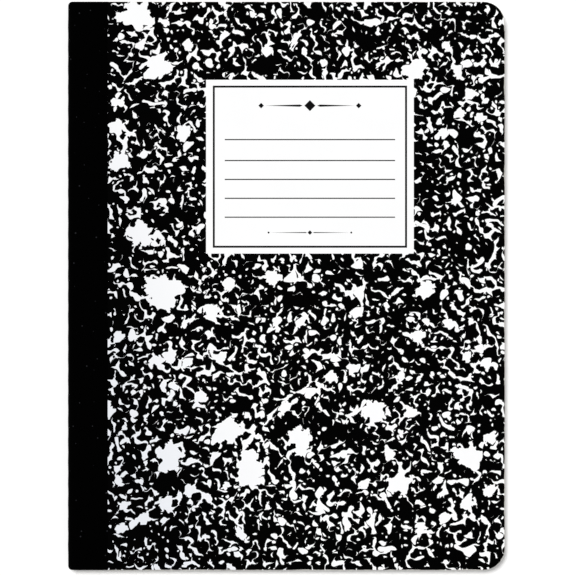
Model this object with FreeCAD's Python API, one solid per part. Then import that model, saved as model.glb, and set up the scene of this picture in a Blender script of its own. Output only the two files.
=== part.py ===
import FreeCAD, Part
import math
import os
import random

# Composition notebook, 9 3/4 by 7 1/2 inches, closed and lying on its back cover.
# X runs from the spine (-X) to the fore-edge (+X), Y from the tail to the head, Z up to the front cover.
# The origin is the middle of the box under the closed book. All sizes are in millimetres.

# Book
book_width = 190.5
book_height = 247.65
leaf_count = 100
leaf_thickness = 0.088
fore_corner_radius = 9.5
spine_corner_radius = 2.0

# Cover board and binding tape
board_thickness = 1.0
tape_thickness = 0.25
tape_width = 17.5
leaf_clearance = 0.1

# Rounded spine: two shoulders, as round as the folded block lets them be, and a shallow back
# between them. The cover turns on a line along each shoulder, a share of the way down it.
fold_roundness = 0.3
back_sweep = 10.0
hinge_share = 0.5
hinge_gap = 0.15

# Sewing through the fold
thread_radius = 0.25
thread_clearance = 0.05
stitch_length = 9.0
stitch_margin = 6.0

# Marbled paper on the board, and what is printed on it
paper_thickness = 0.15
ink_thickness = 0.04
tape_to_print_gap = 0.1
print_edge_margin = 0.1

# Label printed on the front cover, placed from the fore-edge and the head
label_width = 90.5
label_height = 75.7
label_fore_margin = 39.65
label_head_margin = 34.05
frame_inset_x = 2.95
frame_inset_y = 2.55
frame_line = 0.86
rule_count = 5
rule_line = 0.48
rule_inset_x = 5.2
first_rule_drop = 23.5
last_rule_rise = 13.3
first_gap_extra = 0.9
heading_width = 44.9
heading_height = 4.8
heading_drop = 8.7
foot_width = 37.0
foot_height = 2.0
foot_rise = 6.6

# Marbling: small branched flecks strewn between larger ragged splats
flecks_per_dm2 = 48
fleck_reach_least = 3.6
fleck_reach_most = 7.4
fleck_core = 0.3
fleck_gap = 0.3
fleck_tries = 300
fleck_arm_counts = (2, 2, 3, 3, 3)
splat_points = 6
splat_core = 0.68
marbling_seed = 41

# The larger splats: x and y from the middle of the cover, and the reach of the points
splat_places = [
    (-64.8, 118.0, 6.4),
    (-55.8, 95.2, 6.3),
    (-44.7, 66.6, 5.6),
    (-73.4, 79.8, 4.6),
    (-53.2, -2.4, 7.6),
    (-32.4, -10.7, 5.8),
    (-50.8, -30.8, 5.4),
    (60.4, -2.0, 6.2),
    (30.4, -12.0, 4.8),
    (15.0, -31.0, 4.6),
    (57.0, -22.1, 5.2),
    (38.5, -54.8, 6.0),
    (-25.9, -63.5, 6.4),
    (6.1, -67.4, 6.2),
    (-50.8, -74.8, 6.6),
    (49.4, -86.2, 5.8),
    (79.4, -74.8, 5.4),
    (-41.6, -89.3, 5.0),
    (55.9, 94.4, 6.4),
    (74.0, 83.0, 5.4),
    (-62.1, -101.3, 5.2),
    (68.6, -101.3, 5.2),
]

block_thickness = leaf_count * leaf_thickness
wall = tape_thickness + board_thickness
thickness = block_thickness + 2 * (wall + leaf_clearance)
shoulder_radius = fold_roundness * block_thickness + leaf_clearance + wall
back_radius = shoulder_radius + (thickness / 2 - shoulder_radius) / math.sin(math.radians(back_sweep))
spine_x = -book_width / 2
fore_x = book_width / 2
middle = thickness / 2
head_y = book_height / 2
up = FreeCAD.Vector(0, 0, 1)


def point(x, z):
    """A point of the section, on the tail end of the book."""
    return FreeCAD.Vector(x, -head_y, z)


# The section of the spine: the back's arc and the shoulders' arcs are tangent and share their centres
# in every layer, so each layer follows the one outside it at its own depth.
back_centre = point(spine_x + back_radius, middle)
shoulder_end_angle = 180 - back_sweep
hinge_angle = 90 + (shoulder_end_angle - 90) * hinge_share
shoulder_centre = point(
    back_centre.x - (back_radius - shoulder_radius) * math.cos(math.radians(back_sweep)),
    thickness - shoulder_radius,
)
gap_angle = math.degrees(hinge_gap / shoulder_radius)


def on_arc(centre, radius, degrees):
    """The point of a section's arc at an angle measured from +X towards +Z."""
    turn = math.radians(degrees)
    return point(centre.x + radius * math.cos(turn), centre.z + radius * math.sin(turn))


def arc(centre, radius, start, end):
    """An arc of the section between two angles."""
    return Part.Arc(
        on_arc(centre, radius, start),
        on_arc(centre, radius, (start + end) / 2),
        on_arc(centre, radius, end),
    ).toShape()


def line(start, end):
    """A straight run of the section."""
    return Part.makeLine(start, end)


def below(vector):
    """The same point of the section, mirrored to the back cover's side."""
    return point(vector.x, thickness - vector.z)


def spine_arcs(depth, start):
    """The spine's outline at a depth, from an angle on the front shoulder to the same on the back one."""
    lower_centre = below(shoulder_centre)
    return [
        arc(shoulder_centre, shoulder_radius - depth, start, shoulder_end_angle),
        arc(back_centre, back_radius - depth, shoulder_end_angle, 180 + back_sweep),
        arc(lower_centre, shoulder_radius - depth, 180 + back_sweep, 360 - start),
    ]


def rounded_plate(low_x, low_y, high_x, high_y, low_radius, high_radius, z, height):
    """An upright plate with one corner radius on its spine side and one on its fore-edge side."""
    corners = [
        (high_x - high_radius, low_y + high_radius, high_radius, -90),
        (high_x - high_radius, high_y - high_radius, high_radius, 0),
        (low_x + low_radius, high_y - low_radius, low_radius, 90),
        (low_x + low_radius, low_y + low_radius, low_radius, 180),
    ]
    stops = []
    edges = []
    for x, y, radius, start in corners:
        turns = [math.radians(start + step) for step in (0, 45, 90)]
        bend = [FreeCAD.Vector(x + radius * math.cos(t), y + radius * math.sin(t), z) for t in turns]
        if radius > 0:
            edges.append(Part.Arc(*bend).toShape())
        stops.append((bend[0], bend[2]))
    for here, following in zip(stops, stops[1:] + stops[:1]):
        edges.append(Part.makeLine(here[1], following[0]))
    outline = Part.Wire(Part.__sortEdges__(edges))
    return Part.Face(outline).extrude(up * height)


def book_outline():
    """The upright block that trims every layer: rounded fore-edge corners, softer spine corners."""
    return rounded_plate(
        spine_x, -head_y, fore_x, head_y, spine_corner_radius, fore_corner_radius, 0, thickness
    )


def run_along_book(edges):
    """A section carried from tail to head and trimmed to the book's outline."""
    face = Part.Face(Part.Wire(edges))
    return face.extrude(FreeCAD.Vector(0, book_height, 0)).common(book_outline()).Solids[0]


def cover_layer(depth, layer_thickness, end_x):
    """One layer of the front cover: flat from end_x to the shoulder, then round to the hinge line."""
    outer = shoulder_radius - depth
    inner = outer - layer_thickness
    top = thickness - depth
    bottom = top - layer_thickness
    return run_along_book(
        [
            line(point(end_x, top), on_arc(shoulder_centre, outer, 90)),
            arc(shoulder_centre, outer, 90, hinge_angle),
            line(
                on_arc(shoulder_centre, outer, hinge_angle),
                on_arc(shoulder_centre, inner, hinge_angle),
            ),
            arc(shoulder_centre, inner, hinge_angle, 90),
            line(on_arc(shoulder_centre, inner, 90), point(end_x, bottom)),
            line(point(end_x, bottom), point(end_x, top)),
        ]
    )


def spine_layer(depth, layer_thickness):
    """One layer of the spine, between the two hinge lines."""
    start = hinge_angle + gap_angle
    outer = shoulder_radius - depth
    inner = outer - layer_thickness
    front_end = line(on_arc(shoulder_centre, inner, start), on_arc(shoulder_centre, outer, start))
    back_end = line(
        below(on_arc(shoulder_centre, outer, start)),
        below(on_arc(shoulder_centre, inner, start)),
    )
    inner_arcs = spine_arcs(depth + layer_thickness, start)
    return run_along_book(
        [front_end] + spine_arcs(depth, start) + [back_end] + list(reversed(inner_arcs))
    )


def page_block():
    """The leaves, folded in the middle and trimmed flush: one block with a rounded fold."""
    depth = wall + leaf_clearance
    radius = shoulder_radius - depth
    top = thickness - depth
    return run_along_book(
        [line(point(fore_x, top), on_arc(shoulder_centre, radius, 90))]
        + spine_arcs(depth, 90)
        + [
            line(below(on_arc(shoulder_centre, radius, 90)), point(fore_x, depth)),
            line(point(fore_x, depth), point(fore_x, top)),
        ]
    )


def thread_bar(x, y, length, along):
    """A length of thread from a point on the middle plane, six-sided with its flats up and down."""
    across = FreeCAD.Vector(along.y, along.x, 0)
    ring = []
    for corner in range(7):
        turn = math.radians(60 * corner)
        offset = across * (thread_radius * math.cos(turn)) + up * (thread_radius * math.sin(turn))
        ring.append(FreeCAD.Vector(x, y, middle) + offset)
    return Part.Face(Part.makePolygon(ring)).extrude(along * length)


def slit_bar(x, y, length, along):
    """The square slit that a length of thread lies in, a clearance wider on every side."""
    half = thread_radius + thread_clearance
    side = 2 * half
    if along.x:
        return Part.makeBox(length, side, side, FreeCAD.Vector(x, y - half, middle - half))
    corner = FreeCAD.Vector(x - half, y - half, middle - half)
    return Part.makeBox(side, length + side, side, corner)


def sewing(bar):
    """A run of stitches: one thread outside the board, one in the innermost fold, and the loops between."""
    run = book_height - 2 * stitch_margin
    stitches = max(1, round(run / stitch_length))
    outside_x = spine_x + tape_thickness + thread_radius + thread_clearance / 2
    inside_x = spine_x + wall + leaf_clearance + block_thickness / 2
    rail = FreeCAD.Vector(0, 1, 0)
    rung = FreeCAD.Vector(1, 0, 0)
    bars = [bar(x, -run / 2, run, rail) for x in (outside_x, inside_x)]
    for number in range(stitches + 1):
        y = -run / 2 + run * number / stitches
        bars.append(bar(outside_x, y, inside_x - outside_x, rung))
    return bars[0].multiFuse(bars[1:]).removeSplitter()


def to_back(shape):
    """The same layer on the back cover."""
    return shape.mirror(FreeCAD.Vector(0, 0, middle), up)


# The front cover's print: the black paper, then the white fields, then the lines on the label
board_top = thickness - tape_thickness
paper_top = board_top + paper_thickness
line_top = paper_top + ink_thickness
field_low_x = spine_x + tape_width + tape_to_print_gap
field_low_y = -head_y + print_edge_margin
field_high_x = fore_x - print_edge_margin
field_high_y = head_y - print_edge_margin
label_high_x = fore_x - label_fore_margin
label_low_x = label_high_x - label_width
label_high_y = head_y - label_head_margin
label_low_y = label_high_y - label_height
label_centre_x = (label_low_x + label_high_x) / 2
frame_low_x = label_low_x + frame_inset_x
frame_high_x = label_high_x - frame_inset_x
frame_low_y = label_low_y + frame_inset_y
frame_high_y = label_high_y - frame_inset_y


def printed_bar(low_x, low_y, high_x, high_y, z):
    """A rectangle of ink on a surface."""
    return Part.makeBox(
        high_x - low_x, high_y - low_y, ink_thickness, FreeCAD.Vector(low_x, low_y, z)
    )


def printed_shape(corners, z):
    """A straight-sided shape of ink on a surface."""
    ring = [FreeCAD.Vector(x, y, z) for x, y in corners]
    face = Part.Face(Part.makePolygon(ring + ring[:1]))
    return face.extrude(up * ink_thickness)


def marbled_paper():
    """The covering paper, the marbling's black ground, from the tape to the trimmed edges."""
    return rounded_plate(
        field_low_x,
        field_low_y,
        field_high_x,
        field_high_y,
        0,
        fore_corner_radius - print_edge_margin,
        board_top,
        paper_thickness,
    )


def label_frame():
    """The thin line round the label."""
    outer = printed_bar(frame_low_x, frame_low_y, frame_high_x, frame_high_y, line_top)
    inner = printed_bar(
        frame_low_x + frame_line,
        frame_low_y + frame_line,
        frame_high_x - frame_line,
        frame_high_y - frame_line,
        line_top,
    )
    return outer.cut(inner)


def label_rules():
    """The lines to write on: the gap under the first one is a little wider than the rest."""
    first_y = frame_high_y - first_rule_drop
    last_y = frame_low_y + last_rule_rise
    step = (first_y - last_y - first_gap_extra) / (rule_count - 1)
    bars = []
    for number in range(rule_count):
        y = first_y - number * step - (first_gap_extra if number else 0)
        bars.append(
            printed_bar(
                frame_low_x + rule_inset_x,
                y - rule_line / 2,
                frame_high_x - rule_inset_x,
                y + rule_line / 2,
                line_top,
            )
        )
    return Part.makeCompound(bars)


def lozenge(x, y, half_width, half_height):
    """A diamond of ink."""
    corners = [(x - half_width, y), (x, y - half_height), (x + half_width, y), (x, y + half_height)]
    return printed_shape(corners, line_top)


def ornament(centre_y, width, height):
    """A printer's dash: a large lozenge between two tapered strokes, with a small lozenge at each end."""
    large = height / 2
    small = height / 4
    gap = height / 6
    shapes = [lozenge(label_centre_x, centre_y, large, large)]
    for side in (-1, 1):
        inner_x = label_centre_x + side * (large + gap)
        outer_x = label_centre_x + side * (width / 2 - 2 * small - gap)
        stroke = [
            (inner_x, centre_y),
            (inner_x + side * small, centre_y - side * height / 10),
            (outer_x, centre_y),
            (inner_x + side * small, centre_y + side * height / 10),
        ]
        shapes.append(printed_shape(stroke, line_top))
        shapes.append(lozenge(label_centre_x + side * (width / 2 - small), centre_y, small, small))
    return shapes


def label_ornaments():
    """A plain typographic ornament in the heading's place and a small one at the foot."""
    heading = ornament(frame_high_y - heading_drop, heading_width, heading_height)
    foot = ornament(frame_low_y + foot_rise, foot_width, foot_height)
    return Part.makeCompound(heading + foot)


def ragged_shape(chance, x, y, reach, points, core):
    """A white shape of the marbling: uneven points round a core, which is a share of the reach."""
    turn = chance.uniform(0, 360)
    corners = []
    for number in range(points):
        tip_angle = math.radians(turn + (number + chance.uniform(-0.14, 0.14)) * 360 / points)
        notch_angle = math.radians(turn + (number + 0.5) * 360 / points)
        tip = reach * chance.uniform(0.75, 1.0)
        notch = reach * core * chance.uniform(0.75, 1.0)
        corners.append((x + tip * math.cos(tip_angle), y + tip * math.sin(tip_angle)))
        corners.append((x + notch * math.cos(notch_angle), y + notch * math.sin(notch_angle)))
    return corners


def clear_of_edges(x, y, reach, around_label):
    """True where a shape stays on the ground, inside the round corners and off the label."""
    if not field_low_x + reach < x < field_high_x - reach:
        return False
    if not field_low_y + reach < y < field_high_y - reach:
        return False
    corner_x = fore_x - fore_corner_radius
    corner_y = head_y - fore_corner_radius
    if x > corner_x and abs(y) > corner_y:
        if math.hypot(x - corner_x, abs(y) - corner_y) + reach > fore_corner_radius - print_edge_margin:
            return False
    beside = not label_low_x - reach < x < label_high_x + reach
    above = not label_low_y - reach < y < label_high_y + reach
    return beside or above or not around_label


def marbling_flecks(around_label, seed):
    """Every white shape of one cover's marbling: the splats, then the flecks, larger ones first."""
    chance = random.Random(seed)
    placed = []
    shapes = []
    for x, y, reach in splat_places:
        if clear_of_edges(x, y, reach, around_label):
            placed.append((x, y, reach))
            corners = ragged_shape(chance, x, y, reach, splat_points, splat_core)
            shapes.append(printed_shape(corners, paper_top))
    area = (field_high_x - field_low_x) * (field_high_y - field_low_y)
    if around_label:
        area -= label_width * label_height
    count = round(area / 10000 * flecks_per_dm2)
    reaches = [chance.uniform(fleck_reach_least, fleck_reach_most) for _ in range(count)]
    for reach in sorted(reaches, reverse=True):
        for _ in range(fleck_tries):
            x = chance.uniform(field_low_x, field_high_x)
            y = chance.uniform(field_low_y, field_high_y)
            crowded = any(
                math.hypot(x - px, y - py) < reach + size + fleck_gap for px, py, size in placed
            )
            if clear_of_edges(x, y, reach, around_label) and not crowded:
                placed.append((x, y, reach))
                arms = chance.choice(fleck_arm_counts)
                corners = ragged_shape(chance, x, y, reach, arms, fleck_core)
                shapes.append(printed_shape(corners, paper_top))
                break
    return Part.makeCompound(shapes)


def build():
    """Every piece of the notebook, by its name."""
    channel = sewing(slit_bar)
    front_board = cover_layer(tape_thickness, board_thickness, fore_x)
    front_tape = cover_layer(0, tape_thickness, spine_x + tape_width)
    marbling = marbled_paper()
    return {
        "pages": page_block().cut(channel),
        "sewing_thread": sewing(thread_bar),
        "spine_board": spine_layer(tape_thickness, board_thickness).cut(channel),
        "spine_tape": spine_layer(0, tape_thickness),
        "front_board": front_board,
        "front_tape": front_tape,
        "front_marbling": marbling,
        "front_flecks": marbling_flecks(True, marbling_seed),
        "front_label": printed_bar(
            label_low_x, label_low_y, label_high_x, label_high_y, paper_top
        ),
        "label_frame": label_frame(),
        "label_rules": label_rules(),
        "label_ornaments": label_ornaments(),
        "back_board": to_back(front_board),
        "back_tape": to_back(front_tape),
        "back_marbling": to_back(marbling),
        "back_flecks": to_back(marbling_flecks(False, marbling_seed + 1)),
    }


os.makedirs("parts", exist_ok=True)
for name, shape in build().items():
    shape.exportStep(f"parts/{name}.step")
    box = shape.BoundBox
    print(
        f"{name}: {len(shape.Solids)} solids, {shape.Volume:.1f} mm3,"
        f" x {box.XMin:.2f}..{box.XMax:.2f}, y {box.YMin:.2f}..{box.YMax:.2f},"
        f" z {box.ZMin:.2f}..{box.ZMax:.2f}"
    )
hinge = on_arc(shoulder_centre, shoulder_radius, hinge_angle)
print(f"front hinge axis: x {hinge.x:.3f}, z {hinge.z:.3f}; back: z {thickness - hinge.z:.3f}")
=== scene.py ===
import bmesh
import bpy
import math
import random
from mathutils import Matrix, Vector


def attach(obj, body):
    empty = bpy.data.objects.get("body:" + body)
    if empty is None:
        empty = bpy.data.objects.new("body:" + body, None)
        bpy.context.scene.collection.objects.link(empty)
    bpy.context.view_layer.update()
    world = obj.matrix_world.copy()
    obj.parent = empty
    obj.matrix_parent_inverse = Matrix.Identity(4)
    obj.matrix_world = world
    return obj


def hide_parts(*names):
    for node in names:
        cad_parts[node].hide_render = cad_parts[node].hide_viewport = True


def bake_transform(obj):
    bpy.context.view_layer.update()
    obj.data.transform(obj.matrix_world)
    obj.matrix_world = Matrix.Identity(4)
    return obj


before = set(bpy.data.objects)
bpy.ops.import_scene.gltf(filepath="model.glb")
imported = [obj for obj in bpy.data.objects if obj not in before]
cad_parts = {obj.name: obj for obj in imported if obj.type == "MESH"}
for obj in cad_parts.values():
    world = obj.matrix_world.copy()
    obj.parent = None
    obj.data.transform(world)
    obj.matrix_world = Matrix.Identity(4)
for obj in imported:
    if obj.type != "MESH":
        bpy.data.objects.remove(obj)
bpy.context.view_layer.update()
mm = 0.001
print("frame loaded:", ", ".join(sorted(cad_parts)))

# the closed book's section and outline in millimetres, as the solids have them
book = {
    "spineX": -95.25,
    "foreX": 95.25,
    "headY": 123.825,
    "thickness": 11.5,
    "foreRadius": 9.5,
    "spineRadius": 2.0,
    "shoulderX": -91.106,
    "shoulderZ": 7.51,
    "shoulderRadius": 3.99,
    "backX": -81.1245,
    "backRadius": 14.1255,
    "shoulderEnd": 170.0,
    "hingeTurn": 130.0,
    "tape": 0.25,
    "board": 1.0,
}
middleZ = book["thickness"] / 2


# helpers that several meshes use
def sectionPoint(turn, depth):  # a point of the spine's section, turn in degrees from the fore-edge upwards
    angle = math.radians(turn)
    if turn <= book["shoulderEnd"]:
        radius = book["shoulderRadius"] - depth
        return (book["shoulderX"] + radius * math.cos(angle), book["shoulderZ"] + radius * math.sin(angle))
    radius = book["backRadius"] - depth
    return (book["backX"] + radius * math.cos(angle), middleZ + radius * math.sin(angle))


def halfHeight(x, inset=0.0):  # half the book's height at x, less near its rounded corners
    top = book["headY"] - inset
    for edge, radius in ((book["foreX"] - inset, book["foreRadius"] - inset), (book["spineX"], book["spineRadius"])):
        near = radius - abs(edge - x)
        if near > 0:
            near = min(near, radius)
            top = min(top, book["headY"] - inset - radius + math.sqrt(radius * radius - near * near))
    return top


def spread(low, high, step):  # evenly spaced values, ends included
    count = max(1, round(abs(high - low) / step))
    return [low + (high - low) * i / count for i in range(count + 1)]


def cornerColumns(edge, radius):  # columns that follow a rounded corner closely
    turns = (12, 24, 35, 46, 56, 65, 73, 80, 86, 90)
    return [edge - radius + radius * math.sin(math.radians(turn)) for turn in turns]


def newPiece(name, mesh, materials):
    piece = bpy.data.objects.new(name, mesh)
    bpy.context.scene.collection.objects.link(piece)
    for material in materials:
        mesh.materials.append(material)
    return piece


def finishMesh(bm, name, sharpTurn=35):
    bmesh.ops.recalc_face_normals(bm, faces=bm.faces)
    for vertex in bm.verts:
        vertex.co *= mm
    mesh = bpy.data.meshes.new(name)
    bm.to_mesh(mesh)
    bm.free()
    for face in mesh.polygons:
        face.use_smooth = True
    mesh.set_sharp_from_angle(angle=math.radians(sharpTurn))
    return mesh


def shellMesh(columns, rows, back=False, lift=None, tagInner=0, tagEnd=0):
    # columns hold (outer x, outer z, inner x, inner z); rows run from -1 at the tail to 1 at the head
    bm = bmesh.new()
    grids = []
    for side in (0, 1):
        grid = []
        for column in columns:
            x, z = column[2 * side], column[2 * side + 1]
            line = []
            for row in rows:
                y = row * halfHeight(x)
                rise = lift(x, y, side) if lift else (0.0, 0.0)
                place = (x + rise[0], y, z + rise[1])
                if back:
                    place = (place[0], place[1], book["thickness"] - place[2])
                line.append(bm.verts.new(place))
            grid.append(line)
        grids.append(grid)
    outer, inner = grids
    for i in range(len(columns) - 1):
        for j in range(len(rows) - 1):
            bm.faces.new((outer[i][j], outer[i + 1][j], outer[i + 1][j + 1], outer[i][j + 1]))
            face = bm.faces.new((inner[i][j + 1], inner[i + 1][j + 1], inner[i + 1][j], inner[i][j]))
            face.material_index = tagInner
        for j in (0, -1):
            bm.faces.new((outer[i][j], inner[i][j], inner[i + 1][j], outer[i + 1][j]))
    for j in range(len(rows) - 1):
        for i in (0, -1):
            face = bm.faces.new((outer[i][j], outer[i][j + 1], inner[i][j + 1], inner[i][j]))
            face.material_index = tagEnd if i else 0
    return bm


def dressNode(node, material):
    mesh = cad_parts[node].data
    mesh.materials.clear()
    mesh.materials.append(material)


def applyModifiers(piece):  # the finished mesh, with nothing left live on it
    graph = bpy.context.evaluated_depsgraph_get()
    ready = piece.evaluated_get(graph)
    mesh = bpy.data.meshes.new_from_object(ready, preserve_all_data_layers=True, depsgraph=graph)
    piece.modifiers.clear()
    old = piece.data
    piece.data = mesh
    bpy.data.meshes.remove(old)
    return piece


# helpers that every material uses
class NodeDesk:  # lays nodes in one tree and links them
    def __init__(self, tree):
        self.tree = tree
        self.column = 0

    def node(self, kind, inputs=None, **settings):
        made = self.tree.nodes.new(kind)
        self.column += 1
        made.location = (self.column * 190, (self.column % 4) * -160)
        for key, value in settings.items():
            setattr(made, key, value)
        for key, value in (inputs or {}).items():
            self.feed(made.inputs[key], value)
        return made

    def feed(self, socket, value):
        if isinstance(value, bpy.types.NodeSocket):
            self.tree.links.new(value, socket)
        else:
            socket.default_value = value

    def math(self, operation, *values):
        made = self.node("ShaderNodeMath", operation=operation)
        for socket, value in zip(made.inputs, values):
            self.feed(socket, value)
        return made.outputs[0]

    def vector(self, operation, first, second=None, scale=None):
        made = self.node("ShaderNodeVectorMath", operation=operation)
        self.feed(made.inputs[0], first)
        if second is not None:
            self.feed(made.inputs[1], second)
        if scale is not None:
            self.feed(made.inputs["Scale"], scale)
        return made.outputs["Value" if operation in ("LENGTH", "DISTANCE") else "Vector"]

    def place(self, vector, offset=(0, 0, 0), turn=(0, 0, 0), size=(1, 1, 1)):
        inputs = {"Vector": vector, "Location": offset, "Rotation": turn, "Scale": size}
        return self.node("ShaderNodeMapping", inputs).outputs[0]

    def noise(self, vector, scale, detail=2.0, roughness=0.5, output="Fac"):
        inputs = {"Vector": vector, "Scale": scale, "Detail": detail, "Roughness": roughness}
        return self.node("ShaderNodeTexNoise", inputs).outputs[output]

    def range(self, value, low, high, outLow=0.0, outHigh=1.0, kind="LINEAR"):
        inputs = {"Value": value, "From Min": low, "From Max": high, "To Min": outLow, "To Max": outHigh}
        return self.node("ShaderNodeMapRange", inputs, interpolation_type=kind).outputs[0]

    def mix(self, share, first, second):
        made = self.node("ShaderNodeMix", data_type="RGBA")
        self.feed(made.inputs[0], share)
        self.feed(made.inputs[6], first)
        self.feed(made.inputs[7], second)
        return made.outputs[2]

    def objectPlace(self):
        return self.node("ShaderNodeTexCoord").outputs["Object"]


def newGroup(name, inputs, outputs):
    group = bpy.data.node_groups.new(name, "ShaderNodeTree")
    for label, kind, value in inputs:
        socket = group.interface.new_socket(label, in_out="INPUT", socket_type=kind)
        if value is not None:
            socket.default_value = value
    for label, kind in outputs:
        group.interface.new_socket(label, in_out="OUTPUT", socket_type=kind)
    desk = NodeDesk(group)
    return group, desk, desk.node("NodeGroupInput").outputs, desk.node("NodeGroupOutput").inputs


def useGroup(desk, group, **values):
    made = desk.node("ShaderNodeGroup")
    made.node_tree = group
    for key, value in values.items():
        desk.feed(made.inputs[key], value)
    return made.outputs


def newMaterial(name, roughness=0.6, specular=0.5):
    material = bpy.data.materials.new(name)
    material.use_nodes = True
    desk = NodeDesk(material.node_tree)
    shader = material.node_tree.nodes["Principled BSDF"]
    shader.inputs["Roughness"].default_value = roughness
    shader.inputs["Specular IOR Level"].default_value = specular
    return material, desk, shader


def addBump(desk, shader, height, strength, distance):
    bump = desk.node("ShaderNodeBump", {"Height": height, "Strength": strength, "Distance": distance})
    desk.feed(shader.inputs["Normal"], bump.outputs[0])


# shader groups that several finishes share
def makePaperGrain():
    group, desk, given, out = newGroup(
        "paperGrain",
        [
            ("Vector", "NodeSocketVector", None),
            ("Fibre Scale", "NodeSocketFloat", 900.0),
            ("Cloud Scale", "NodeSocketFloat", 60.0),
        ],
        [("Height", "NodeSocketFloat"), ("Tint", "NodeSocketFloat")],
    )
    fibres = desk.noise(desk.place(given["Vector"], size=(1.0, 0.45, 1.0)), given["Fibre Scale"], 3.0, 0.6)
    cloud = desk.noise(given["Vector"], given["Cloud Scale"], 2.0, 0.5)
    desk.feed(out["Height"], fibres)
    desk.feed(out["Tint"], desk.math("MULTIPLY_ADD", fibres, 0.35, desk.math("MULTIPLY", cloud, 0.65)))
    return group


def makeDust():
    group, desk, given, out = newGroup(
        "dustSpecks",
        [
            ("Vector", "NodeSocketVector", None),
            ("Scale", "NodeSocketFloat", 160.0),
            ("Amount", "NodeSocketFloat", 0.06),
        ],
        [("Mask", "NodeSocketFloat")],
    )
    inputs = {"Vector": given["Vector"], "Scale": given["Scale"]}
    cells = desk.node("ShaderNodeTexVoronoi", inputs, voronoi_dimensions="2D")
    chance = desk.math("FRACT", desk.math("MULTIPLY", cells.outputs["Color"], 7.3))
    size = desk.math("MULTIPLY", chance, given["Amount"])
    desk.feed(out["Mask"], desk.range(cells.outputs["Distance"], size, 0.0))
    return group


def makeEdgeWear():
    # worn where the piece comes near the trimmed outline, patchy along it
    group, desk, given, out = newGroup(
        "edgeWear",
        [
            ("Vector", "NodeSocketVector", None),
            ("Width", "NodeSocketFloat", 0.0004),
            ("Patch Scale", "NodeSocketFloat", 140.0),
        ],
        [("Mask", "NodeSocketFloat")],
    )
    parts = desk.node("ShaderNodeSeparateXYZ", {"Vector": given["Vector"]})
    headGap = desk.math("SUBTRACT", book["headY"] * mm, desk.math("ABSOLUTE", parts.outputs["Y"]))
    foreGap = desk.math("SUBTRACT", book["foreX"] * mm, parts.outputs["X"])
    gap = desk.math("MINIMUM", headGap, foreGap)
    centreX = (book["foreX"] - book["foreRadius"]) * mm
    centreY = (book["headY"] - book["foreRadius"]) * mm
    overX = desk.math("MAXIMUM", desk.math("SUBTRACT", parts.outputs["X"], centreX), 0.0)
    overY = desk.math("MAXIMUM", desk.math("SUBTRACT", desk.math("ABSOLUTE", parts.outputs["Y"]), centreY), 0.0)
    squares = desk.math("ADD", desk.math("MULTIPLY", overX, overX), desk.math("MULTIPLY", overY, overY))
    reach = desk.math("SQRT", squares)
    gap = desk.math("MINIMUM", gap, desk.math("SUBTRACT", book["foreRadius"] * mm, reach))
    patches = desk.range(desk.noise(given["Vector"], given["Patch Scale"], 4.0, 0.65), 0.42, 0.72)
    limit = desk.math("MULTIPLY", given["Width"], patches)
    desk.feed(out["Mask"], desk.math("LESS_THAN", gap, limit))
    return group


paperGrain = makePaperGrain()
dustSpecks = makeDust()
edgeWear = makeEdgeWear()


# camera straight above, one key light from the upper left, white floor
view = {"centre": (0.0008, -0.00092), "across": 0.2509, "lens": 250.0}
cameraData = bpy.data.cameras.new("camera")
cameraData.lens = view["lens"]
cameraData.clip_end = 20
cameraHeight = view["across"] / 2 * view["lens"] / (cameraData.sensor_width / 2)
camera = bpy.data.objects.new("camera", cameraData)
camera.location = (view["centre"][0], view["centre"][1], book["thickness"] * mm + cameraHeight)
bpy.context.scene.collection.objects.link(camera)
bpy.context.scene.camera = camera

light = {"keyStrength": 2.52, "keyAngle": 13.0, "leanLeft": 8.0, "leanUp": 10.2, "skyStrength": 0.26}
sunData = bpy.data.lights.new("keyLight", "SUN")
sunData.energy = light["keyStrength"]
sunData.angle = math.radians(light["keyAngle"])
sun = bpy.data.objects.new("keyLight", sunData)
toSun = Vector((-math.tan(math.radians(light["leanLeft"])), math.tan(math.radians(light["leanUp"])), 1.0))
sun.rotation_mode = "QUATERNION"
sun.rotation_quaternion = toSun.to_track_quat("Z", "Y")
sun.location = toSun * 0.6
bpy.context.scene.collection.objects.link(sun)

world = bpy.data.worlds.new("studio")
bpy.context.scene.world = world
world.use_nodes = True
desk = NodeDesk(world.node_tree)
sky = world.node_tree.nodes["Background"]
rays = desk.node("ShaderNodeLightPath").outputs["Is Camera Ray"]
desk.feed(sky.inputs["Color"], (1.0, 1.0, 1.0, 1.0))
desk.feed(sky.inputs["Strength"], desk.range(rays, 0.0, 1.0, light["skyStrength"], 1.0))
bpy.context.scene.view_settings.view_transform = "Standard"

floorSettings = {"size": 6.0, "colour": (0.88, 0.88, 0.88, 1.0), "glow": 0.15}
floorMesh = bpy.data.meshes.new("floor")
half = floorSettings["size"] / 2
floorMesh.from_pydata([(-half, -half, 0), (half, -half, 0), (half, half, 0), (-half, half, 0)], [], [(0, 1, 2, 3)])
floorMaterial, desk, shader = newMaterial("paleFloor", roughness=0.9, specular=0.0)
shader.inputs["Base Color"].default_value = floorSettings["colour"]
shader.inputs["Emission Color"].default_value = (1.0, 1.0, 1.0, 1.0)
rays = desk.node("ShaderNodeLightPath").outputs["Is Camera Ray"]
desk.feed(shader.inputs["Emission Strength"], desk.math("MULTIPLY", rays, floorSettings["glow"]))
floor = newPiece("floor", floorMesh, [floorMaterial])
print("camera, light and floor are set")


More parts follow.
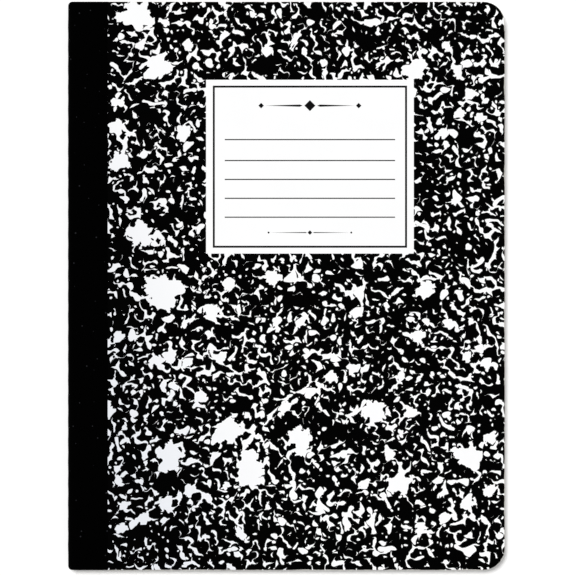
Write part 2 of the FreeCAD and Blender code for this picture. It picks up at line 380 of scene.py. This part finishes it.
# marbled paper on both covers
marbling = {
    "gridStep": 1.3,
    "gap": 0.1,
    "innerX": -77.9,
    "thickness": 0.15,
    "underPaper": 0.25,
    "strokeScale": 216.0,
    "strokeWidth": 0.141,
    "crestShare": 0.15,
    "warp": 0.0017,
    "warpScale": 300.0,
    "cloudScale": 120.0,
    "cloudShare": 0.35,
    "bareScale": 88.0,
    "bareLevel": 0.478,
    "bareGain": 1.3,
    "dotScale": 310.0,
    "dotLevel": 0.7,
    "blotScale": 170.0,
    "blotLevel": 0.72,
    "splatSize": 0.68,
    "splatSpread": 0.45,
    "raggedScale": 380.0,
    "raggedShare": 0.8,
    "raggedRise": 12.0,
    "splatTrim": 0.06,
    "shadeScale": 14.0,
    "shadeDrift": 0.04,
    "sheetUv": 252.0,
    "hiddenUv": 0.38,
}
# where the larger splats lie on the front, x and y from the middle, with their reach
splats = [
    (-64.8, 118.0, 9.5), (-63.5, 105.0, 4.5), (-43.0, 104.8, 4.0), (-56.0, 95.2, 8.0), (-74.5, 79.5, 3.6),
    (-74.0, 69.0, 5.4), (-44.7, 66.6, 5.6), (56.0, 94.2, 7.6), (69.6, 104.8, 4.0), (74.8, 93.4, 4.2),
    (80.5, 83.3, 4.4), (75.3, 75.0, 4.0), (84.5, 73.2, 3.6), (68.7, 66.8, 4.2), (-63.6, 22.8, 8.0),
    (-53.4, -2.4, 10.5), (-32.4, -10.7, 5.8), (-24.6, 0.6, 5.0), (-5.8, 3.6, 5.6), (60.4, -2.0, 6.2),
    (-72.8, -22.4, 4.6), (-50.8, -30.8, 5.0), (-43.4, -33.4, 4.6), (-28.9, -31.2, 4.8), (6.1, -15.5, 4.4),
    (30.6, -12.0, 4.8), (71.0, -16.8, 4.6), (57.3, -22.0, 5.2), (29.3, -36.0, 4.4), (19.2, -39.4, 4.2),
    (10.0, -46.4, 4.6), (-37.3, -48.6, 4.4), (-0.5, -53.0, 4.6), (-76.8, -55.1, 4.2), (38.5, -54.8, 7.6),
    (54.3, -55.1, 4.6), (78.8, -30.8, 4.2), (86.7, -33.4, 3.8), (89.3, -66.0, 4.6), (-25.9, -63.4, 8.2),
    (6.1, -67.3, 8.0), (-50.9, -74.7, 8.4), (79.7, -74.7, 8.0), (49.5, -86.0, 7.6), (-41.7, -89.0, 4.8),
    (88.9, -89.0, 4.6), (34.1, -86.4, 4.2), (-52.2, -94.7, 5.0), (78.8, -94.7, 4.8), (-62.3, -101.2, 4.8),
    (68.8, -101.2, 4.8), (-71.9, -105.6, 4.4), (58.7, -105.6, 4.4), (-70.6, -95.6, 4.0),
    (-72.7, 54.0, 6.5), (-15.7, -79.5, 9.5),
]
splatWaves = ((2, 0.16), (3, 0.18), (5, 0.2), (8, 0.12))  # points round a splat, and how far each set reaches


def splatField(places, seed):  # how deep a point lies in the nearest splat, with uneven points round each
    shapes = []
    dice = random.Random(seed)
    for x, y, reach in places:
        reach *= marbling["splatSize"] * (reach / 8) ** marbling["splatSpread"]
        waves = [(count, dice.uniform(0, 6.28), dice.uniform(0.5, 1.0) * size) for count, size in splatWaves]
        shapes.append((x, y, reach, waves))

    def depth(x, y):
        best = 0.0
        for cx, cy, reach, waves in shapes:
            dx, dy = x - cx, y - cy
            far = math.hypot(dx, dy)
            if far > reach * 1.8:
                continue
            turn = math.atan2(dy, dx)
            edge = reach * (1 + sum(size * math.sin(count * turn + start) for count, start, size in waves))
            best = max(best, 1.0 - far / edge)
        return best

    return depth


def makeMarbling(name, shift):
    material, desk, shader = newMaterial(name, roughness=0.66, specular=0.008)
    m = desk.math
    here = desk.place(desk.objectPlace(), offset=shift)
    drift = desk.noise(here, marbling["warpScale"], 1.0, 0.5, "Color")
    drift = desk.vector("SCALE", desk.vector("SUBTRACT", drift, (0.5, 0.5, 0.5)), scale=marbling["warp"])
    bent = desk.vector("ADD", here, drift)
    # strokes lie on the pattern's crests, thicker where the cloud is dense and gone in the bare places
    waves = {"Vector": bent, "Scale": marbling["strokeScale"], "Frequency": 1.0, "Anisotropy": 0.0}
    crest = desk.node("ShaderNodeTexGabor", waves, gabor_type="2D").outputs
    offCrest = m("ABSOLUTE", m("SUBTRACT", crest["Phase"], 0.5))
    offCrest = m("SUBTRACT", offCrest, m("MULTIPLY", m("SUBTRACT", crest["Intensity"], 0.5), marbling["crestShare"]))
    cloud = desk.noise(desk.place(here, offset=(7, 3, 1)), marbling["cloudScale"], 1.0, 0.5)
    dense = m("MULTIPLY", m("SUBTRACT", cloud, 0.5), marbling["cloudShare"])
    stroke = m("ADD", m("SUBTRACT", marbling["strokeWidth"], offCrest), dense)
    bare = desk.noise(desk.place(here, offset=(2, 8, 5)), marbling["bareScale"], 1.0, 0.5)
    thin = m("MULTIPLY", m("SUBTRACT", bare, marbling["bareLevel"]), marbling["bareGain"])
    stroke = m("ADD", stroke, m("MINIMUM", thin, 0.0))
    waves["Vector"] = desk.place(bent, offset=(3, 4, 9))
    waves["Scale"] = marbling["dotScale"]
    dots = desk.node("ShaderNodeTexGabor", waves, gabor_type="2D").outputs["Value"]
    blots = desk.noise(desk.place(bent, offset=(11, 2, 4)), marbling["blotScale"], 0.0, 0.5)
    ragged = m("SUBTRACT", desk.noise(bent, marbling["raggedScale"], 1.0, 0.6), 0.5)
    splat = desk.node("ShaderNodeAttribute", attribute_name="splat").outputs["Fac"]
    inside = m("MINIMUM", m("MULTIPLY", splat, marbling["raggedRise"]), 1.0)
    ragged = m("MULTIPLY", m("MULTIPLY", ragged, marbling["raggedShare"]), inside)
    splat = m("ADD", m("SUBTRACT", splat, marbling["splatTrim"]), ragged)
    whole = m("MAXIMUM", stroke, m("SUBTRACT", dots, marbling["dotLevel"]))
    whole = m("MAXIMUM", whole, m("SUBTRACT", blots, marbling["blotLevel"]))
    white = m("GREATER_THAN", m("MAXIMUM", whole, splat), 0.0)
    grain = useGroup(desk, paperGrain, Vector=here)
    wear = useGroup(desk, edgeWear, Vector=desk.objectPlace())
    ink = desk.mix(grain["Tint"], (0.0002, 0.0002, 0.0002, 1), (0.0006, 0.0006, 0.0006, 1))
    # painted shade: the white paper turns greyer and bluer towards the spine and the tail, with a slow noisy drift
    parts = desk.node("ShaderNodeSeparateXYZ", {"Vector": desk.objectPlace()})
    paintedShadeRamp = m("SUBTRACT", m("MULTIPLY", parts.outputs["X"], -1.0), m("MULTIPLY_ADD", parts.outputs["Y"], 0.4, 0.035))
    drift = m("SUBTRACT", desk.noise(here, marbling["shadeScale"], 2.0, 0.5), 0.5)
    paintedShadeRamp = m("ADD", paintedShadeRamp, m("MULTIPLY", drift, marbling["shadeDrift"]))
    shade = desk.range(paintedShadeRamp, 0.0, 0.06)
    paper = desk.mix(grain["Tint"], (0.93, 0.932, 0.938, 1), (0.965, 0.966, 0.97, 1))
    paper = desk.mix(shade, paper, (0.8, 0.822, 0.864, 1))
    printed = desk.mix(white, ink, paper)
    desk.feed(shader.inputs["Base Color"], desk.mix(wear["Mask"], printed, (0.62, 0.6, 0.56, 1)))
    desk.feed(shader.inputs["Roughness"], desk.range(grain["Tint"], 0.3, 0.7, 0.62, 0.72))
    addBump(desk, shader, grain["Height"], 0.12, 0.00005)
    return material


def marbledPaper(name, back, places, seed, material):
    bm = bmesh.new()
    xs = spread(marbling["innerX"], book["foreX"] - book["foreRadius"], marbling["gridStep"])
    xs += cornerColumns(book["foreX"] - marbling["gap"], book["foreRadius"] - marbling["gap"])
    rows = [2 * t - 1 for t in spread(0.0, 1.0, marbling["gridStep"] / (2 * book["headY"]))]
    topZ = book["thickness"] - marbling["underPaper"] + marbling["thickness"]
    lowZ = topZ - marbling["thickness"]
    depth = splatField(places, seed)
    grid = []
    values = []
    for x in xs:
        line = []
        for row in rows:
            y = row * halfHeight(x, marbling["gap"])
            line.append(bm.verts.new((x, y, topZ)))
            values.append(depth(x, y))
        grid.append(line)
    for i in range(len(xs) - 1):
        for j in range(len(rows) - 1):
            bm.faces.new((grid[i][j], grid[i + 1][j], grid[i + 1][j + 1], grid[i][j + 1]))
    ring = [line[0] for line in grid] + grid[-1][1:-1]
    ring += [line[-1] for line in reversed(grid)] + list(reversed(grid[0][1:-1]))
    under = []
    for vertex in ring:
        under.append(bm.verts.new((vertex.co.x, vertex.co.y, lowZ)))
        values.append(0.0)
    for a in range(len(ring)):
        b = (a + 1) % len(ring)
        bm.faces.new((ring[a], under[a], under[b], ring[b]))
    bm.faces.new(list(reversed(under)))
    if back:
        for vertex in bm.verts:
            vertex.co.z = book["thickness"] - vertex.co.z
    mesh = finishMesh(bm, name)
    mesh.attributes.new("splat", "FLOAT", "POINT").data.foreach_set("value", values)
    layer = mesh.uv_layers.new(name="OFBake")
    hidden = marbling["hiddenUv"]
    for face in mesh.polygons:
        outward = face.normal.z < -0.5 if back else face.normal.z > 0.5
        inward = face.normal.z > 0.5 if back else face.normal.z < -0.5
        for corner in face.loop_indices:
            x, y, z = mesh.vertices[mesh.loops[corner].vertex_index].co / mm
            u = (x - marbling["innerX"]) / marbling["sheetUv"]
            v = (y + book["headY"]) / marbling["sheetUv"] + 0.004
            if inward:  # the glued side and the rim lie small beside the printed side
                u, v = 0.71 + u * hidden, v * hidden + 0.3
            elif not outward:
                u, v = 0.71 + u * hidden, v * hidden + (z % marbling["thickness"]) * 0.02
            layer.data[corner].uv = (u + 0.004, v)
    piece = newPiece(name, mesh, [material])
    return piece


frontMarbling = makeMarbling("marbledPrint", (0.0, 0.0, 0.0))
frontPaper = marbledPaper("frontMarbledPaper", False, splats, 7, frontMarbling)
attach(frontPaper, "front_cover")
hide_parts("front_marbling", "front_flecks")
backMarbling = makeMarbling("marbledPrintBack", (0.31, 0.17, 0.0))
backSplats = [(x, -y, reach) for x, y, reach in splats]
backPaper = marbledPaper("backMarbledPaper", True, backSplats, 19, backMarbling)
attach(backPaper, "back_cover")
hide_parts("back_marbling", "back_flecks")
print("marbled paper laid on both covers")


# cover boards
boardSettings = {"rowStep": 6.0, "flatStep": 8.0, "bevel": 0.14}
liningTones = ((0.84, 0.83, 0.8, 1), (0.92, 0.91, 0.885, 1))


def makeBoardEdge(name, lined):  # lined: paper on the faces along the spine, bare board at head and tail
    material, desk, shader = newMaterial(name, roughness=0.85, specular=0.2)
    here = desk.objectPlace()
    grain = useGroup(desk, paperGrain, Vector=desk.place(here, size=(1, 1, 6)), **{"Fibre Scale": 1400.0})
    layers = desk.noise(desk.place(here, size=(0.05, 0.05, 4.0)), 900.0, 2.0, 0.6)
    tone = desk.math("MULTIPLY_ADD", grain["Tint"], 0.5, desk.math("MULTIPLY", layers, 0.5))
    colour = desk.mix(desk.range(tone, 0.3, 0.7), (0.36, 0.33, 0.29, 1), (0.6, 0.57, 0.51, 1))
    if lined:
        facing = desk.node("ShaderNodeSeparateXYZ", {"Vector": desk.node("ShaderNodeNewGeometry").outputs["True Normal"]})
        inside = desk.math("LESS_THAN", desk.math("ABSOLUTE", facing.outputs["Y"]), 0.05)
        colour = desk.mix(inside, colour, desk.mix(grain["Tint"], liningTones[0], liningTones[1]))
    desk.feed(shader.inputs["Base Color"], colour)
    addBump(desk, shader, grain["Height"], 0.4, 0.0001)
    return material


def makeLining():
    material, desk, shader = newMaterial("liningPaper", roughness=0.7, specular=0.3)
    here = desk.objectPlace()
    grain = useGroup(desk, paperGrain, Vector=here)
    desk.feed(shader.inputs["Base Color"], desk.mix(grain["Tint"], liningTones[0], liningTones[1]))
    addBump(desk, shader, grain["Height"], 0.2, 0.00006)
    return material


boardEdge = makeBoardEdge("pressedBoard", False)
lining = makeLining()


def coverBoard(name, back):
    outerDepth = book["tape"]
    innerDepth = outerDepth + book["board"]
    top = book["thickness"]
    flats = spread(book["shoulderX"], book["foreX"] - book["foreRadius"], boardSettings["flatStep"])
    flats += cornerColumns(book["foreX"], book["foreRadius"])
    flats.reverse()
    columns = [(x, top - outerDepth, x, top - innerDepth) for x in flats]
    for turn in spread(90.0, book["hingeTurn"], 5.0)[1:]:
        columns.append(sectionPoint(turn, outerDepth) + sectionPoint(turn, innerDepth))
    rows = [2 * t - 1 for t in spread(0.0, 1.0, boardSettings["rowStep"] / (2 * book["headY"]))]
    bm = shellMesh(columns, rows, back, tagInner=1, tagEnd=1)
    piece = newPiece(name, finishMesh(bm, name), [boardEdge, lining])
    bevel = piece.modifiers.new("softEdge", "BEVEL")
    bevel.width = boardSettings["bevel"] * mm
    bevel.segments = 2
    bevel.limit_method = "ANGLE"
    bevel.angle_limit = math.radians(50)
    applyModifiers(piece)
    return piece


frontBoard = coverBoard("frontBoard", False)
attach(frontBoard, "front_cover")
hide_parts("front_board")
backBoard = coverBoard("backBoard", True)
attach(backBoard, "back_cover")
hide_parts("back_board")
dressNode("spine_board", makeBoardEdge("linedBoard", True))
print("boards made")


# binding tape, one half for each cover, shaped round the spine's shoulder past its hinge
tapeSettings = {
    "edgeX": -77.75,
    "rowStep": 2.4,
    "stitchBump": 0.1,
    "stitchLength": 9.06,
    "stitchEnd": 117.8,
    "stitchX": -94.9,
    "stitchFade": 0.3,
    "bendTurn": 3.0,
    "weaveScale": 520.0,
}


def makeTape():
    material, desk, shader = newMaterial("clothTape", roughness=0.85, specular=0.008)
    shader.inputs["Sheen Weight"].default_value = 0.015
    shader.inputs["Sheen Roughness"].default_value = 0.35
    around = desk.node("ShaderNodeAttribute", attribute_name="around").outputs["Fac"]
    parts = desk.node("ShaderNodeSeparateXYZ", {"Vector": desk.objectPlace()})
    here = desk.node("ShaderNodeCombineXYZ", {"X": around, "Y": parts.outputs["Y"]}).outputs[0]
    inputs = {"Vector": here, "Scale": tapeSettings["weaveScale"], "Distortion": 0.8, "Detail": 1.0}
    threads = desk.node("ShaderNodeTexWave", inputs, bands_direction="Y")
    picks = desk.node("ShaderNodeTexWave", inputs, bands_direction="X")
    weave = desk.math("MAXIMUM", threads.outputs["Fac"], picks.outputs["Fac"])
    dust = useGroup(desk, dustSpecks, Vector=here, Scale=110.0, Amount=0.05)
    grain = useGroup(desk, paperGrain, Vector=here)
    cloth = desk.mix(grain["Tint"], (0.0001, 0.0001, 0.0001, 1), (0.0004, 0.0004, 0.0004, 1))
    desk.feed(shader.inputs["Base Color"], desk.mix(dust["Mask"], cloth, (0.035, 0.035, 0.04, 1)))
    desk.feed(shader.inputs["Roughness"], desk.range(grain["Tint"], 0.3, 0.7, 0.8, 0.92))
    addBump(desk, shader, weave, 0.5, 0.00006)
    return material


clothTape = makeTape()


def tapeHalf(name, back):
    top = book["thickness"]
    thin = book["tape"]
    columns = [(x, top, x, top - thin) for x in spread(tapeSettings["edgeX"], book["shoulderX"], 1.6)]
    turns = spread(90.0, 120.0, 5.0)[1:] + spread(120.0, 140.0, 2.0)[1:] + spread(140.0, 170.0, 5.0)[1:]
    turns += spread(170.0, 180.0, 2.5)[1:]
    for turn in turns:
        columns.append(sectionPoint(turn, 0.0) + sectionPoint(turn, thin))
    rows = [2 * t - 1 for t in spread(0.0, 1.0, tapeSettings["rowStep"] / (2 * book["headY"]))]

    def ridge(x, y, side):  # the thread lies under the tape along the middle of the spine
        if side or x > tapeSettings["stitchX"] or abs(y) > tapeSettings["stitchEnd"]:
            return (0.0, 0.0)
        along = 0.5 - 0.5 * math.cos(2 * math.pi * (y + tapeSettings["stitchEnd"]) / tapeSettings["stitchLength"])
        near = min(1.0, (tapeSettings["stitchX"] - x) / tapeSettings["stitchFade"])
        return (-tapeSettings["stitchBump"] * along * near, 0.0)

    bm = shellMesh(columns, rows, back, lift=ridge, tagInner=1)
    mesh = finishMesh(bm, name)
    lengths = [0.0]
    for here, following in zip(columns, columns[1:]):
        lengths.append(lengths[-1] + math.hypot(following[0] - here[0], following[1] - here[1]) * mm)
    around = [length for length in lengths for row in rows] * 2
    mesh.attributes.new("around", "FLOAT", "POINT").data.foreach_set("value", around)
    piece = newPiece(name, mesh, [clothTape, lining])
    start = sectionPoint(book["hingeTurn"] + tapeSettings["bendTurn"], 0.0)
    end = sectionPoint(book["hingeTurn"] - tapeSettings["bendTurn"], 0.0)
    if back:
        start, end = (start[0], top - start[1]), (end[0], top - end[1])
    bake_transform(piece)
    return piece


frontTape = tapeHalf("frontTapeHalf", False)
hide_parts("front_tape", "spine_tape")
backTape = tapeHalf("backTapeHalf", True)
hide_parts("back_tape")
print("tape bound over the spine")


# pages: folded sheets, one inside the other
leaves = {
    "Sheets": 50,
    "Sheet Step": 0.088 * mm,
    "Sheet Thickness": 0.082 * mm,
    "Fold X": -93.90 * mm,
    "Fold Length": 3.0 * mm,
    "Fold Power": 0.72,
    "Fold Taper": 0.62,
    "Fore X": 95.25 * mm,
    "Head Y": 123.825 * mm,
    "Middle Z": 5.75 * mm,
    "Half Height": 4.4 * mm,
    "Fore Radius": 9.5 * mm,
    "Spine Radius": 2.0 * mm,
    "Cover Wall": 1.35 * mm,
    "Trim Play": 0.05 * mm,
    "Seed": 5,
}


def makeLeafPaper():
    material, desk, shader = newMaterial("ruledPaper", roughness=0.8, specular=0.25)
    rules = {"gap": 8.7 * mm, "line": 0.35 * mm, "firstY": 96.0 * mm, "marginX": -62.0 * mm}
    here = desk.objectPlace()
    grain = useGroup(desk, paperGrain, Vector=here)
    parts = desk.node("ShaderNodeSeparateXYZ", {"Vector": here})
    x, y = parts.outputs["X"], parts.outputs["Y"]
    # the start keeps the sum above zero and puts a line at firstY
    start = 1.0 - rules["firstY"] % rules["gap"] - (1.0 % rules["gap"])
    phase = desk.math("PINGPONG", desk.math("ADD", y, start), rules["gap"] / 2)
    onLine = desk.math("LESS_THAN", phase, rules["line"] / 2)
    onLine = desk.math("MULTIPLY", onLine, desk.math("LESS_THAN", y, rules["firstY"] + rules["line"]))
    red = desk.math("LESS_THAN", desk.math("ABSOLUTE", desk.math("SUBTRACT", x, rules["marginX"])), rules["line"] / 2)
    facing = desk.node("ShaderNodeSeparateXYZ", {"Vector": desk.node("ShaderNodeNewGeometry").outputs["Normal"]})
    flat = desk.math("GREATER_THAN", desk.math("ABSOLUTE", facing.outputs["Z"]), 0.9)
    stripes = desk.noise(desk.place(here, size=(0.02, 0.02, 1.0)), 4200.0, 2.0, 0.6)
    tone = desk.math("MULTIPLY_ADD", grain["Tint"], 0.4, desk.math("MULTIPLY", stripes, 0.6))
    paper = desk.mix(desk.range(tone, 0.3, 0.7), (0.8, 0.78, 0.72, 1), (0.92, 0.905, 0.865, 1))
    ruled = desk.mix(desk.math("MULTIPLY", onLine, flat), paper, (0.33, 0.5, 0.72, 1))
    ruled = desk.mix(desk.math("MULTIPLY", red, flat), ruled, (0.75, 0.2, 0.22, 1))
    desk.feed(shader.inputs["Base Color"], ruled)
    addBump(desk, shader, grain["Height"], 0.25, 0.00006)
    return material


def baseSheet():
    # one sheet's strip: turn runs round the fold from -90 to 90, reach out to the fore-edge from 0 to 1
    stops = [(-90.0, r) for r in (1.0, 0.998, 0.993, 0.986, 0.977, 0.966, 0.95, 0.5)]
    stops += [(t, 0.0) for t in (-90, -78, -66, -54, -40, -26, -12, 0, 12, 26, 40, 54, 66, 78, 90)]
    stops += [(90.0, r) for r in (0.5, 0.95, 0.966, 0.977, 0.986, 0.993, 0.998, 1.0)]
    bm = bmesh.new()
    layers = {key: bm.verts.layers.float.new(key) for key in ("turn", "reach", "along", "side")}
    grids = []
    for side in (1.0, -1.0):
        grid = []
        for turn, reach in stops:
            line = []
            for along in (-1.0, -0.5, 0.0, 0.5, 1.0):
                vertex = bm.verts.new((turn, along, side))
                for key, value in (("turn", turn), ("reach", reach), ("along", along), ("side", side)):
                    vertex[layers[key]] = value
                line.append(vertex)
            grid.append(line)
        grids.append(grid)
    outer, inner = grids
    for i in range(len(stops) - 1):
        for j in range(4):
            bm.faces.new((outer[i][j], outer[i][j + 1], outer[i + 1][j + 1], outer[i + 1][j]))
            bm.faces.new((inner[i][j], inner[i + 1][j], inner[i + 1][j + 1], inner[i][j + 1]))
        bm.faces.new((outer[i][0], outer[i + 1][0], inner[i + 1][0], inner[i][0]))
        bm.faces.new((outer[i][4], inner[i][4], inner[i + 1][4], outer[i + 1][4]))
    for j in range(4):
        bm.faces.new((outer[0][j], inner[0][j], inner[0][j + 1], outer[0][j + 1]))
        bm.faces.new((outer[-1][j], outer[-1][j + 1], inner[-1][j + 1], inner[-1][j]))
    mesh = bpy.data.meshes.new("sheet")
    bm.to_mesh(mesh)
    bm.free()
    return mesh


def leafTree(material):
    tree = bpy.data.node_groups.new("leafStack", "GeometryNodeTree")
    tree.interface.new_socket("Geometry", in_out="INPUT", socket_type="NodeSocketGeometry")
    for label in leaves:
        kind = "NodeSocketInt" if label in ("Sheets", "Seed") else "NodeSocketFloat"
        tree.interface.new_socket(label, in_out="INPUT", socket_type=kind)
    tree.interface.new_socket("Geometry", in_out="OUTPUT", socket_type="NodeSocketGeometry")
    desk = NodeDesk(tree)
    given = desk.node("NodeGroupInput").outputs
    out = desk.node("NodeGroupOutput").inputs
    m = desk.math
    points = desk.node("GeometryNodeMeshLine", {"Count": given["Sheets"]})
    inputs = {"Points": points.outputs["Mesh"], "Instance": given["Geometry"]}
    copies = desk.node("GeometryNodeInstanceOnPoints", inputs)
    number = desk.node("GeometryNodeInputIndex").outputs[0]
    inputs = {"Geometry": copies.outputs[0], "Name": "number"}
    numbered = desk.node("GeometryNodeStoreNamedAttribute", inputs, data_type="FLOAT", domain="INSTANCE")
    desk.feed(numbered.inputs["Value"], number)
    solid = desk.node("GeometryNodeRealizeInstances", {"Geometry": numbered.outputs[0]}).outputs[0]

    def stored(name):
        return desk.node("GeometryNodeInputNamedAttribute", {"Name": name}, data_type="FLOAT").outputs["Attribute"]

    turn, reach, along, side = stored("turn"), stored("reach"), stored("along"), stored("side")
    sheet = stored("number")
    depth = m("MULTIPLY", m("ADD", sheet, 0.5), given["Sheet Step"])
    depth = m("SUBTRACT", depth, m("MULTIPLY", m("MULTIPLY", side, given["Sheet Thickness"]), 0.5))
    high = m("MAXIMUM", m("SUBTRACT", given["Half Height"], depth), 0.000001)
    nose = m("ADD", given["Fold X"], depth)
    length = m("MAXIMUM", m("SUBTRACT", given["Fold Length"], m("MULTIPLY", depth, given["Fold Taper"])), 0.00005)
    angle = m("RADIANS", turn)
    rise = m("MULTIPLY", m("SIGN", turn), m("POWER", m("ABSOLUTE", m("SINE", angle)), given["Fold Power"]))
    curl = m("SUBTRACT", 1.0, m("POWER", m("MAXIMUM", m("COSINE", angle), 0.0), given["Fold Power"]))
    foldX = m("MULTIPLY_ADD", curl, length, nose)
    inputs = {"ID": m("MULTIPLY_ADD", m("SIGN", turn), 200.0, sheet), "Seed": given["Seed"]}
    dice = desk.node("FunctionNodeRandomValue", inputs, data_type="FLOAT").outputs[1]
    edge = m("SUBTRACT", given["Fore X"], m("MULTIPLY", dice, given["Trim Play"]))
    x = m("MULTIPLY_ADD", reach, m("SUBTRACT", edge, foldX), foldX)
    z = m("MULTIPLY_ADD", rise, high, given["Middle Z"])

    def cornerDrop(past, radius):  # how far a rounded corner falls back, past its start along X
        near = m("MINIMUM", m("MAXIMUM", past, 0.0), radius)
        return m("SUBTRACT", radius, m("SQRT", m("SUBTRACT", m("MULTIPLY", radius, radius), m("MULTIPLY", near, near))))

    foreDrop = cornerDrop(m("SUBTRACT", x, m("SUBTRACT", edge, given["Fore Radius"])), given["Fore Radius"])
    spineEdge = m("ADD", m("SUBTRACT", given["Fold X"], given["Cover Wall"]), given["Spine Radius"])
    spineDrop = cornerDrop(m("SUBTRACT", spineEdge, x), given["Spine Radius"])
    trimmed = m("SUBTRACT", given["Head Y"], m("MULTIPLY", dice, given["Trim Play"]))
    tall = m("SUBTRACT", trimmed, m("MAXIMUM", foreDrop, spineDrop))
    y = m("MULTIPLY", along, tall)
    place = desk.node("ShaderNodeCombineXYZ", {"X": x, "Y": y, "Z": z}).outputs[0]
    moved = desk.node("GeometryNodeSetPosition", {"Geometry": solid, "Position": place}).outputs[0]
    painted = desk.node("GeometryNodeSetMaterial", {"Geometry": moved, "Material": material}).outputs[0]
    desk.feed(out["Geometry"], painted)
    return tree


leafPaper = makeLeafPaper()
pages = newPiece("leaves", baseSheet(), [leafPaper])
stack = pages.modifiers.new("leafStack", "NODES")
stack.node_group = leafTree(leafPaper)
for item in stack.node_group.interface.items_tree:
    if item.in_out == "INPUT" and item.name in leaves:
        stack[item.identifier] = leaves[item.name]
applyModifiers(pages)
bm = bmesh.new()
bm.from_mesh(pages.data)
bmesh.ops.recalc_face_normals(bm, faces=bm.faces)
bm.to_mesh(pages.data)
bm.free()
for face in pages.data.polygons:
    face.use_smooth = True
pages.data.set_sharp_from_angle(angle=math.radians(40))
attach(pages, "book_block")
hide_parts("pages")
print("leaves folded:", len(pages.data.polygons), "faces")


# sewing thread
def makeThread():
    material, desk, shader = newMaterial("twistedCotton", roughness=0.85, specular=0.2)
    here = desk.objectPlace()
    inputs = {"Vector": desk.place(here, turn=(0, 0, 0.6)), "Scale": 1600.0, "Distortion": 1.0}
    twist = desk.node("ShaderNodeTexWave", inputs, bands_direction="DIAGONAL")
    desk.feed(shader.inputs["Base Color"], desk.mix(twist.outputs["Fac"], (0.66, 0.64, 0.58, 1), (0.88, 0.87, 0.82, 1)))
    addBump(desk, shader, twist.outputs["Fac"], 0.5, 0.0001)
    return material


dressNode("sewing_thread", makeThread())


# label and what is printed on it
def makeLabelPaper():
    material, desk, shader = newMaterial("labelPaper", roughness=0.6, specular=0.15)
    grain = useGroup(desk, paperGrain, Vector=desk.objectPlace())
    desk.feed(shader.inputs["Base Color"], desk.mix(grain["Tint"], (0.93, 0.93, 0.935, 1), (0.97, 0.97, 0.97, 1)))
    addBump(desk, shader, grain["Height"], 0.1, 0.00004)
    return material


def makeInk(name, dark, pale):
    material, desk, shader = newMaterial(name, roughness=0.8, specular=0.05)
    grain = useGroup(desk, paperGrain, Vector=desk.objectPlace(), **{"Fibre Scale": 1500.0})
    desk.feed(shader.inputs["Base Color"], desk.mix(grain["Tint"], dark, pale))
    addBump(desk, shader, grain["Height"], 0.1, 0.00003)
    return material


dressNode("front_label", makeLabelPaper())
blackInk = makeInk("blackInk", (0.002, 0.002, 0.002, 1), (0.006, 0.006, 0.006, 1))
dressNode("label_frame", blackInk)
dressNode("label_ornaments", blackInk)
dressNode("label_rules", makeInk("greyInk", (0.01, 0.01, 0.01, 1), (0.025, 0.025, 0.025, 1)))
print("label dressed")
